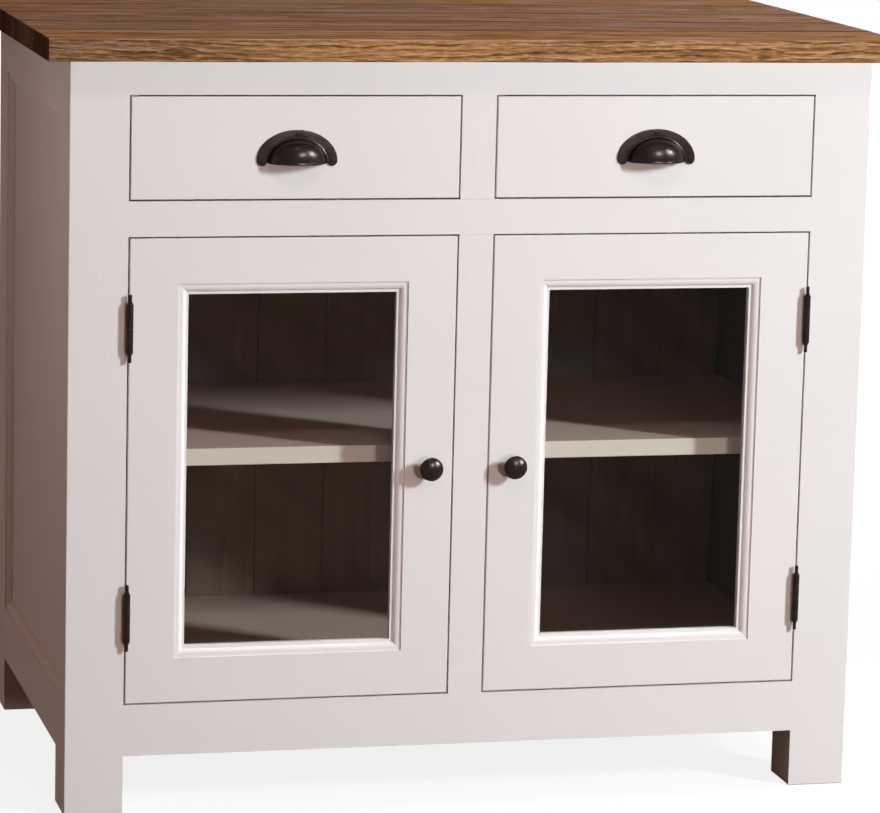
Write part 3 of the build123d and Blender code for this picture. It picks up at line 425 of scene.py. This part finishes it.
def bare_pine(name, along):
    """Softwood with long arched rings and a few knots: contour lines of a drawn-out noise."""
    n = new_material(name)
    place = n.point()
    board_tone = n.noise(place, 3.0, 1.0)
    streaks = n.grain(place, along, 9.0, 620.0, 3.0, 0.6)
    field = n.grain(place, along, 1.5, 13.0, 2.0, 0.45, 0.25)
    in_ring = n.math("FRACT", n.plus(n.times(field, 8.0), n.times(streaks, 0.35)))
    line = n.times(n.ranged(in_ring, 0.25, 0.85), n.ranged(in_ring, 1.0, 0.92))
    spots = n.add("TexVoronoi", Vector=n.stretched(place, drawn_out(along, 0.675, 5.85)), Scale=1.0)
    knot = n.ranged(spots.outputs["Distance"], 0.11, 0.05)
    colour = n.mix(n.times(line, 0.65), pine_light, pine_dark)
    colour = n.mix(n.ranged(streaks, 0.3, 0.7, 0.35, 0.0), colour, pine_dark)
    colour = n.mix(n.times(knot, 0.8), colour, pine_dark)
    colour = n.mix(n.times(board_tone, 0.4), colour, shade(pine_light, 1.3))
    normal = n.bump(n.minus(streaks, n.times(line, 0.5)), 0.0003, 0.7)
    rough = n.ranged(line, 0.0, 1.0, 0.55, 0.67)
    return n.finish(Base_Color=colour, Roughness=rough, Normal=normal, Specular_IOR_Level=0.15)


def stained_boards(name):
    """Boards wiped with dark stain: soft arched rings, cloudy red patches and a few slanting wipe marks."""
    n = new_material(name)
    whole = n.point()
    from_joint = n.minus(n.coordinate(whole, "X"), board_start)
    chance = n.random(n.math("FLOOR", n.math("DIVIDE", from_joint, board_cover)))
    place = n.moved(whole, chance["Color"])
    streaks = n.grain(place, "Z", 9.0, 420.0, 3.0, 0.6)
    field = n.grain(place, "Z", 1.6, 11.0, 2.0, 0.45, 0.3)
    in_ring = n.math("FRACT", n.plus(n.times(field, 7.0), n.times(streaks, 0.3)))
    line = n.times(n.ranged(in_ring, 0.2, 0.85), n.ranged(in_ring, 1.0, 0.88))
    slanted = n.add("Mapping", Vector=whole, Rotation=(0.0, math.radians(-38), 0.0)).outputs[0]
    wiped = n.grain(slanted, "Z", 24.0, 3.5, 3.0, 0.55)
    cloud = n.noise(whole, 9.0, 3.0, 0.55)
    colour = n.mix(n.times(line, 0.34), board_light, board_dark)
    colour = n.mix(n.ranged(streaks, 0.3, 0.7, 0.4, 0.0), colour, board_dark)
    colour = n.mix(n.ranged(cloud, 0.4, 0.68, 0.0, 0.7), colour, board_red)
    colour = n.mix(n.ranged(wiped, 0.56, 0.36, 0.0, 0.45), colour, board_dark)
    colour = n.mix(n.times(chance["Value"], 0.08), colour, board_dark)
    normal = n.bump(n.minus(streaks, n.times(line, 0.4)), 0.0003, 0.6)
    rough = n.ranged(streaks, 0.3, 0.7, 0.5, 0.66)
    return n.finish(Base_Color=colour, Roughness=rough, Normal=normal, Specular_IOR_Level=0.12)


def cast_iron(name):
    """Cast and waxed iron: a slightly lumpy skin, with browner and duller patches."""
    n = new_material(name)
    place = n.point()
    lumps = n.noise(place, 230.0, 2.0, 0.5)
    pits = n.noise(place, 900.0, 3.0, 0.6)
    cloud = n.noise(place, 45.0, 2.0)
    colour = n.mix(n.ranged(cloud, 0.45, 0.75, 0.0, 0.7), iron_colour, iron_brown)
    height = n.plus(n.times(lumps, 0.7), n.times(pits, 0.2))
    normal = n.bump(height, 0.0007, 0.35)
    rough = n.ranged(cloud, 0.3, 0.7, 0.23, 0.33)
    shine = {"Specular_IOR_Level": 0.13, "Specular_Tint": iron_shine}
    return n.finish(Base_Color=colour, Roughness=rough, Normal=normal, **shine)


def brushed_steel(name):
    n = new_material(name)
    place = n.point()
    streaks = n.grain(place, "Z", 60.0, 900.0, 3.0, 0.6)
    cloud = n.noise(place, 70.0, 2.0)
    colour = n.mix(n.ranged(cloud, 0.3, 0.7), steel_dark, steel_light)
    normal = n.bump(streaks, 0.0001, 0.5)
    rough = n.ranged(streaks, 0.3, 0.7, 0.22, 0.38)
    return n.finish(Base_Color=colour, Roughness=rough, Metallic=1.0, Normal=normal)


def moulded_plastic(name):
    n = new_material(name)
    place = n.point()
    texture = n.noise(place, 1500.0, 2.0)
    cloud = n.noise(place, 90.0, 2.0)
    colour = n.mix(n.ranged(cloud, 0.3, 0.7), plastic_dark, plastic_light)
    normal = n.bump(texture, 0.0001, 0.4)
    rough = n.ranged(texture, 0.3, 0.7, 0.36, 0.48)
    return n.finish(Base_Color=colour, Roughness=rough, Normal=normal)


def clear_glass(name):
    """Thin window glass: it lets light straight through, and shines more where it is seen at a slant."""
    n = new_material(name)
    see = n.add("BsdfTransparent", Color=glass_tint)
    shine = n.add("BsdfGlossy", Color=white, Roughness=0.02)
    mixed = n.add("MixShader")
    for socket, node in zip(mixed.inputs, (n.add("Fresnel", IOR=1.12), see, shine)):
        n.feed(socket, node.outputs[0])
    return n.show(mixed.outputs[0])


paint_upright = painted("paint_upright", "Z")
paint_across = painted("paint_across", "X")
paint_deep = painted("paint_deep", "Y")
inside_paint = painted("inside_paint", "X", inside_colour, inside_top_painted_shade)
side_paint = painted("side_paint", "Z", dark_inside=True)
iron = cast_iron("dark_iron")
steel = brushed_steel("bright_steel")
plastic = moulded_plastic("catch_plastic")
glass = clear_glass("clear_glass")
wood = brushed_wood("worktop_wood")
boards = stained_boards("stained_boards")
pine_across = bare_pine("pine_across", "X")
pine_deep = bare_pine("pine_deep", "Y")

# The material of each CAD node: the first row with a word that its name holds, or else paint brushed across
finishes = (
    (("glass",), glass),
    (("knob", "cup_pull", "leaves", "screws"), iron),
    (("hinge_pins", "strike_plate"), steel),
    (("magnet_catches",), plastic),
    (("side_panel",), side_paint),
    (("side_top_rails", "side_bottom_rails"), paint_deep),
    (("cleats", "runners", "guides", "kickers", "stops", "buttons", "_sides", "_bottom"), pine_deep),
    (("left_back", "right_back"), pine_across),
    (("worktop",), wood),
    (("back_boards",), boards),
    (("bottom_board", "shelf"), inside_paint),
    (("leg", "stile", "mouldings", "post"), paint_upright),
)


def finish_of(name):
    """The material of a CAD node, by its name."""
    for words, material in finishes:
        if any(word in name for word in words):
            return material
    return paint_across


for name, node in nodes.items():
    node.data.materials.clear()
    node.data.materials.append(finish_of(name))


def drift(seed, lengths, *places):
    """A smooth random wander of about -1 to 1, with a length scale for each of the places."""
    rng = np.random.default_rng(seed)
    total = 0.0
    waves = 7
    for _ in range(waves):
        turn = rng.uniform(0.0, 2 * math.pi)
        for place, length in zip(places, lengths):
            turn = turn + place * rng.uniform(-1.0, 1.0) * 2 * math.pi / length
        total = total + np.sin(turn)
    return total / math.sqrt(waves)


def lattice(low, high, step, radius):
    """The grid planes along one axis of a rounded block: close together at its two round edges."""
    inner = np.linspace(low + radius, high - radius, max(2, round((high - low - 2 * radius) / step) + 1))
    edge = radius * (1 - np.cos(np.linspace(0.0, math.pi / 2, 4)[:-1]))
    return np.concatenate([low + edge, inner, (high - edge)[::-1]])


def rounded_block(low, high, steps, radius):
    """A block with round edges and a grid on each side, as points, faces and each point's way outwards."""
    planes = [lattice(a, b, step, radius) for a, b, step in zip(low, high, steps)]
    counts = [len(plane) for plane in planes]
    sides = []
    for axis in range(3):
        for end in (0, -1):
            sides.append((axis, end, tuple(end if a == axis else slice(None) for a in range(3))))
    shell = np.zeros(counts, bool)
    for _, _, side in sides:
        shell[side] = True
    index = -np.ones(counts, int)
    index[shell] = np.arange(shell.sum())
    grid = np.stack(np.meshgrid(*planes, indexing="ij"), -1)[shell]
    inner = np.clip(grid, np.array(low) + radius, np.array(high) - radius)
    out = grid - inner
    out /= np.maximum(np.linalg.norm(out, axis=1, keepdims=True), 1e-12)
    faces = []
    for axis, end, side in sides:
        flat = index[side]
        quads = np.stack([flat[:-1, :-1], flat[1:, :-1], flat[1:, 1:], flat[:-1, 1:]], -1).reshape(-1, 4)
        if (end == 0) != (axis == 1):
            quads = quads[:, ::-1]
        faces.append(quads)
    return inner + radius * out, np.concatenate(faces), out


def mesh_piece(name, points, faces, material, numbers=()):
    """A smooth-shaded mesh object with numbers at its points that its material reads."""
    mesh = bpy.data.meshes.new(name)
    mesh.from_pydata(points.tolist(), [], [tuple(face) for face in faces])
    for label, values in dict(numbers).items():
        mesh.attributes.new(label, "FLOAT", "POINT").data.foreach_set("value", values.astype(np.float32))
    mesh.shade_smooth()
    mesh.materials.append(material)
    piece = bpy.data.objects.new(name, mesh)
    bpy.context.scene.collection.objects.link(piece)
    return piece


def growth(points, pith, pitch, knots, seed):
    """The ring count, knot strength, knot ring count and tone of wood at each point."""
    x, y, z = points.T
    raised = np.zeros_like(x)
    knot, core = np.zeros_like(x), np.zeros_like(x)
    for knot_x, knot_y, knot_z, size, lean in knots:
        along, deep = x - knot_x, y - knot_y
        up = z - knot_z - lean * along
        near = np.exp(-((along / (3.2 * size)) ** 2) - (up / (1.8 * size)) ** 2 - (deep / (7 * size)) ** 2)
        raised += 1.1 * size * near * np.tanh(up / (0.5 * size))
        radius = np.sqrt((along / 1.5) ** 2 + up**2 + (deep / 6) ** 2)
        inside = np.clip(1.4 - radius / size, 0.0, 1.0)
        core = np.where(inside > knot, radius / (0.28 * size), core)
        knot = np.maximum(knot, inside)
    wander_y = 0.009 * drift(seed, (0.9, 0.4), x, y) + 0.0012 * drift(seed + 1, (0.11, 0.05), x, z)
    wander_z = 0.005 * drift(seed + 2, (0.7, 0.4), x, y) + 0.0007 * drift(seed + 3, (0.05, 0.03), x, y + z)
    from_pith = np.hypot(y - pith[0] + wander_y, z - raised - pith[1] + wander_z)
    tone = 0.25 * drift(seed + 4, (0.8, 0.035), x, y) + 0.15 * drift(seed + 5, (0.25, 0.012), x, y)
    return from_pith / pitch, knot, core, tone


def plank_hollow(number, points, ring):
    """How far under its block's face each point of a plank lies, most at the front plank's dark lines."""
    in_ring = ring % 1.0
    groove = np.clip((in_ring - 0.45) / 0.45, 0.0, 1.0) * np.clip((1.0 - in_ring) / 0.08, 0.0, 1.0)
    wander = drift(50 + number, (0.3, 0.05), points[:, 0], points[:, 1])
    return brush_depth * groove * (number == 0) + uneven_depth * np.maximum(1.0 + wander, 0.0)


def plank_stain_and_painted_shade(number, points, out, seams, foot):
    """How dark each point is made by a joint between planks, or by painted shade along the foot of the
    worktop's front edge.
    """
    near = np.min([np.abs(points[:, 1] - seam) for seam in seams], axis=0)
    wide = seam_stain_front if number < 2 else seam_stain_rest
    line = np.clip(1.3 - near / seam_width, 0.0, 1.0)
    round_line = wide * np.clip(1.0 - near / seam_stain_width, 0.0, 1.0)
    above = (points[:, 2] - foot) / foot_painted_shade_height
    painted_shade_at_foot = np.clip(1.2 - above, 0.0, 1.0) * (out[:, 1] < -0.5)
    return np.maximum(np.minimum(line + round_line, 1.0), foot_painted_shade * painted_shade_at_foot)


def make_plank(number, low, high):
    """One plank of the worktop, numbered from the front, with the worktop's lowest and highest corner."""
    width = (high.y - low.y) / plank_count
    start, end = low.y + number * width, low.y + (number + 1) * width
    seams = [y for y in (start, end) if low.y + 0.5 * width < y < high.y - 0.5 * width]
    in_front = number == 0
    steps = front_plank_steps if in_front else plank_steps
    radius = outer_round if len(seams) == 1 else seam_round
    points, faces, out = rounded_block((low.x, start, low.z), (high.x, end, high.z), steps, radius)
    pith_shift = pith_shift_odd if number % 2 else pith_shift_even
    pith = (start + 0.5 * width + pith_shift, low.z - pith_below)
    pitch = front_ring_pitch if in_front else ring_pitch
    knots = [(x, low.y, low.z + up, size, lean) for x, up, size, lean in front_knots if in_front]
    ring, knot, core, tone = growth(points, pith, pitch, knots, 20 + 10 * number)
    along_plank = np.abs(out[:, 0]) < 0.5
    points = points - out * (plank_hollow(number, points, ring) * along_plank)[:, None]
    numbers = {
        "ring": ring,
        "knot": knot,
        "core": core,
        "tone": np.clip(tone + plank_tones[number], 0.0, 1.0),
        # seam: dark joints between planks, and painted shade at the foot of the front edge
        "seam": plank_stain_and_painted_shade(number, points, out, seams, low.z),
        # wear_and_highlight: the front plank's top corner, for wear and a painted highlight
        "wear_and_highlight": (out[:, 1] < -0.2) & (out[:, 2] > 0.2) & in_front,
    }
    piece = mesh_piece(f"worktop_plank_{number + 1}", points, faces, wood, numbers)
    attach(piece, "cabinet")
    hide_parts("worktop")
    return piece


def make_worktop():
    low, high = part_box("worktop")
    return [make_plank(number, low, high) for number in range(plank_count)]


def offset(outline, inset):
    """A closed outline of X and Z moved inwards."""
    before, after = np.roll(outline, 1, axis=0), np.roll(outline, -1, axis=0)
    along = after - before
    along /= np.linalg.norm(along, axis=1, keepdims=True)
    return outline + inset * np.stack([-along[:, 1], along[:, 0]], -1)


def strips(rows, columns, closed_rows, closed_columns):
    """Quads between the points of a grid that is numbered row by row."""
    faces = []
    for i in range(rows if closed_rows else rows - 1):
        for j in range(columns if closed_columns else columns - 1):
            a, b = i * columns + j, i * columns + (j + 1) % columns
            c, d = (i + 1) % rows * columns + (j + 1) % columns, (i + 1) % rows * columns + j
            faces.append((a, b, c, d))
    return faces


def pull_flange():
    """The arched plate with an ear at each foot, as points of X, Z and depth, and its faces."""
    arch = np.linspace(0.0, math.pi, 73)
    outer = np.stack([pull_half * np.cos(arch), pull_ear + pull_arch * np.sin(arch)], -1)
    lobe = np.linspace(math.pi, 2 * math.pi, 17)[1:-1]
    foot = np.stack([pull_ear * np.cos(lobe), pull_ear + pull_ear * np.sin(lobe)], -1)
    to_foot = (pull_half - pull_ear, 0.0)
    rim_turn = math.asin((pull_ear - rim_level) / dome_rise)
    inner_arch = np.linspace(math.pi - rim_turn, rim_turn, 61)
    inner_half = dome_half - dome_tuck
    inner = np.stack([inner_half * np.cos(inner_arch), rim_level + dome_rise * np.sin(inner_arch)], -1)
    outline = np.concatenate([outer, foot - to_foot, inner, foot + to_foot])
    turn = np.arctan2(outline[:, 1], outline[:, 0])
    uneven = pull_unevenness * drift(71, (0.5, 0.11), turn, np.linalg.norm(outline, axis=1))
    outline = outline * (1 + uneven)[:, None]
    count = len(outline)
    rings = []
    for inset, share in plate_profile:
        rings.append(np.column_stack([offset(outline, inset), np.full(count, pull_plate * share)]))
    faces = strips(len(rings), count, False, True)
    faces.append(tuple(range(count))[::-1])
    faces.append(tuple(range((len(rings) - 1) * count, len(rings) * count)))
    return np.concatenate(rings), faces


def dome_depth(x, z, half, rise, reach):
    """How far the dome stands out at a place, with its front nearly upright and drawn in at the rim."""
    across = np.sqrt(np.maximum(1 - (x / half) ** 2, 0.0))
    share = np.clip(z / np.maximum(rise * across, 1e-9), 0.0, 1.0)
    body = reach * across * (1 - share**dome_power) ** (1 / dome_power)
    return body - rim_draw * across * np.maximum(1 - z / rim_draw_height, 0.0) ** 2


def pull_dome():
    """The dome with its wall, rolled rim, bead and groove, as points of X, Z and depth, and its faces."""
    end_turn = math.radians(dome_end_turn)
    turn = np.linspace(end_turn, math.pi - end_turn, 109)
    side, up = np.cos(turn), np.sin(turn)
    normal = np.stack([side / dome_half, up / dome_rise], -1)
    normal /= np.linalg.norm(normal, axis=1, keepdims=True)
    base = np.stack([dome_half * side, dome_rise * up], -1)
    rings = []
    for outwards, forwards in bead_profile:
        flat = base + normal * bead_width * (outwards - bead_start)
        rings.append(np.column_stack([flat, np.full(len(turn), pull_plate * forwards)]))
    bead_end = pull_plate * bead_profile[-1][1]
    for share in 1 - np.linspace(0.0, 1.0, 40)[1:] ** 1.6:
        x, z = base[:, 0], base[:, 1] * share
        depth = dome_depth(x, z, dome_half, dome_rise, dome_reach)
        lip = lip_depth * up * np.exp(-(((z - lip_height) / lip_width) ** 2))
        rings.append(np.column_stack([x, z, np.maximum(depth + lip, bead_end)]))
    half, rise, reach = dome_half - dome_wall, dome_rise - dome_wall, dome_reach - dome_wall
    x = half * side
    rim = dome_depth(x, np.zeros_like(x), half, rise, reach) + 0.5 * dome_wall * up
    rings.append(np.column_stack([x, -lip_drop * up, np.maximum(rim, dome_sunk)]))
    for share in np.linspace(0.0, 1.0, 16) ** 0.7:
        z = rise * up * share
        depth = dome_depth(x, z, half, rise, reach)
        rings.append(np.column_stack([x, z, np.maximum(depth, dome_sunk)]))
    count = len(turn)
    starts = range(0, len(rings) * count, count)
    faces = strips(len(rings), count, True, False)
    faces.append(tuple(starts))
    faces.append(tuple(start + count - 1 for start in starts)[::-1])
    return np.concatenate(rings) + (0, rim_level, 0), faces


def mend_shading(mesh):
    """Turns all the faces outwards, and keeps the mesh's sharp edges sharp."""
    work = bmesh.new()
    work.from_mesh(mesh)
    bmesh.ops.recalc_face_normals(work, faces=work.faces)
    for edge in work.edges:
        edge.smooth = len(edge.link_faces) < 2 or edge.calc_face_angle() < math.radians(sharp_turn)
    work.to_mesh(mesh)
    work.free()


def make_cup_pull(side):
    """A cast cup pull on a drawer's front, in place of the plainer one."""
    node = f"drawer_{side}_cup_pull"
    low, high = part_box(node)
    plate, plate_faces = pull_flange()
    dome, dome_faces = pull_dome()
    x, z, depth = np.concatenate([plate, dome]).T
    faces = plate_faces + [tuple(i + len(plate) for i in face) for face in dome_faces]
    points = np.column_stack([(low.x + high.x) / 2 + x, high.y - depth, low.z + z])
    piece = mesh_piece(f"cup_pull_{side}", points, faces, iron)
    mend_shading(piece.data)
    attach(piece, f"drawer_{side}")
    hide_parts(node)


def add_lamp(name, direction, distance, size, power, colour):
    """A soft rectangular lamp that looks at the cabinet's middle."""
    lamp = bpy.data.lights.new(name, "AREA")
    lamp.shape = "RECTANGLE"
    lamp.size, lamp.size_y = size
    lamp.energy = power
    lamp.color = colour
    thing = bpy.data.objects.new(name, lamp)
    bpy.context.scene.collection.objects.link(thing)
    away = Vector(direction).normalized()
    thing.location = (cad_low + cad_high) / 2 + away * distance
    thing.rotation_mode = "QUATERNION"
    thing.rotation_quaternion = (-away).to_track_quat("-Z", "Y")


def leave_out(lamp, pieces, role):
    """Pieces that a lamp doesn't light, as its receivers, or that throw no shadow of it, as its blockers."""
    group = bpy.data.collections.new(f"{lamp}_{role}")
    for piece in pieces:
        group.objects.link(piece)
    setattr(bpy.data.objects[lamp].light_linking, role + "_collection", group)
    for entry in group.collection_objects:
        entry.light_linking.link_state = "EXCLUDE"


def seen_directly(n):
    """1 for what the camera sees, also mirrored or through glass, and 0 for light that falls on things."""
    path = n.add("LightPath").outputs
    seen = n.math("MAXIMUM", path["Is Camera Ray"], path["Is Glossy Ray"])
    return n.math("MAXIMUM", seen, path["Is Transmission Ray"])


def make_world():
    """White where it is seen, and a faint warm light where it falls on things."""
    n = Nodes(bpy.data.worlds.new("studio"))
    colour = n.mix(seen_directly(n), ambient_colour, white)
    background = n.add("Background", Color=colour)
    bpy.context.scene.world = n.show(background.outputs[0], "OutputWorld")


def make_floor():
    """A wide pale floor that fades into the white surroundings where it is seen."""
    mesh = bpy.data.meshes.new("floor")
    corners = [(x * floor_half, y * floor_half, 0) for x, y in ((-1, -1), (1, -1), (1, 1), (-1, 1))]
    mesh.from_pydata(corners, [], [(0, 1, 2, 3)])
    floor = bpy.data.objects.new("floor", mesh)
    bpy.context.scene.collection.objects.link(floor)
    n = new_material("floor")
    seen = seen_directly(n)
    diffuse = n.add("BsdfDiffuse", Color=n.mix(seen, floor_bounce, floor_seen))
    away = n.add("VectorMath", {"operation": "LENGTH"})
    n.feed(away.inputs[0], n.point())
    glow = n.ranged(away.outputs["Value"], glow_near, glow_far, glow_near_strength, glow_far_strength)
    shine = n.add("Emission", Color=white, Strength=n.times(seen, glow))
    both = n.add("AddShader")
    n.feed(both.inputs[0], diffuse.outputs[0])
    n.feed(both.inputs[1], shine.outputs[0])
    mesh.materials.append(n.show(both.outputs[0]))
    return floor


def make_camera():
    data = bpy.data.cameras.new("camera")
    data.lens = camera_lens
    camera = bpy.data.objects.new("camera", data)
    bpy.context.scene.collection.objects.link(camera)
    camera.location = camera_place
    camera.rotation_euler = [math.radians(angle) for angle in camera_turn]
    bpy.context.scene.camera = camera


worktop_planks = make_worktop()
for side in ("left", "right"):
    make_cup_pull(side)

for name, lamp in lamps.items():
    add_lamp(name, *lamp)
make_world()
floor = make_floor()
make_camera()
bpy.context.scene.view_settings.view_transform = "Standard"

# The worktop throws no shadow of the key lamp, for the photo has only a faint one under the overhang
leave_out("key", worktop_planks, "blocker")
leave_out("front", [nodes["back_boards"]], "receiver")
for name in ("back", "left"):
    leave_out(name, [floor, *worktop_planks], "receiver")
bpy.data.objects["front"].visible_glossy = False
for name in ("glint", "key_glint"):
    bpy.data.objects[name].visible_diffuse = False
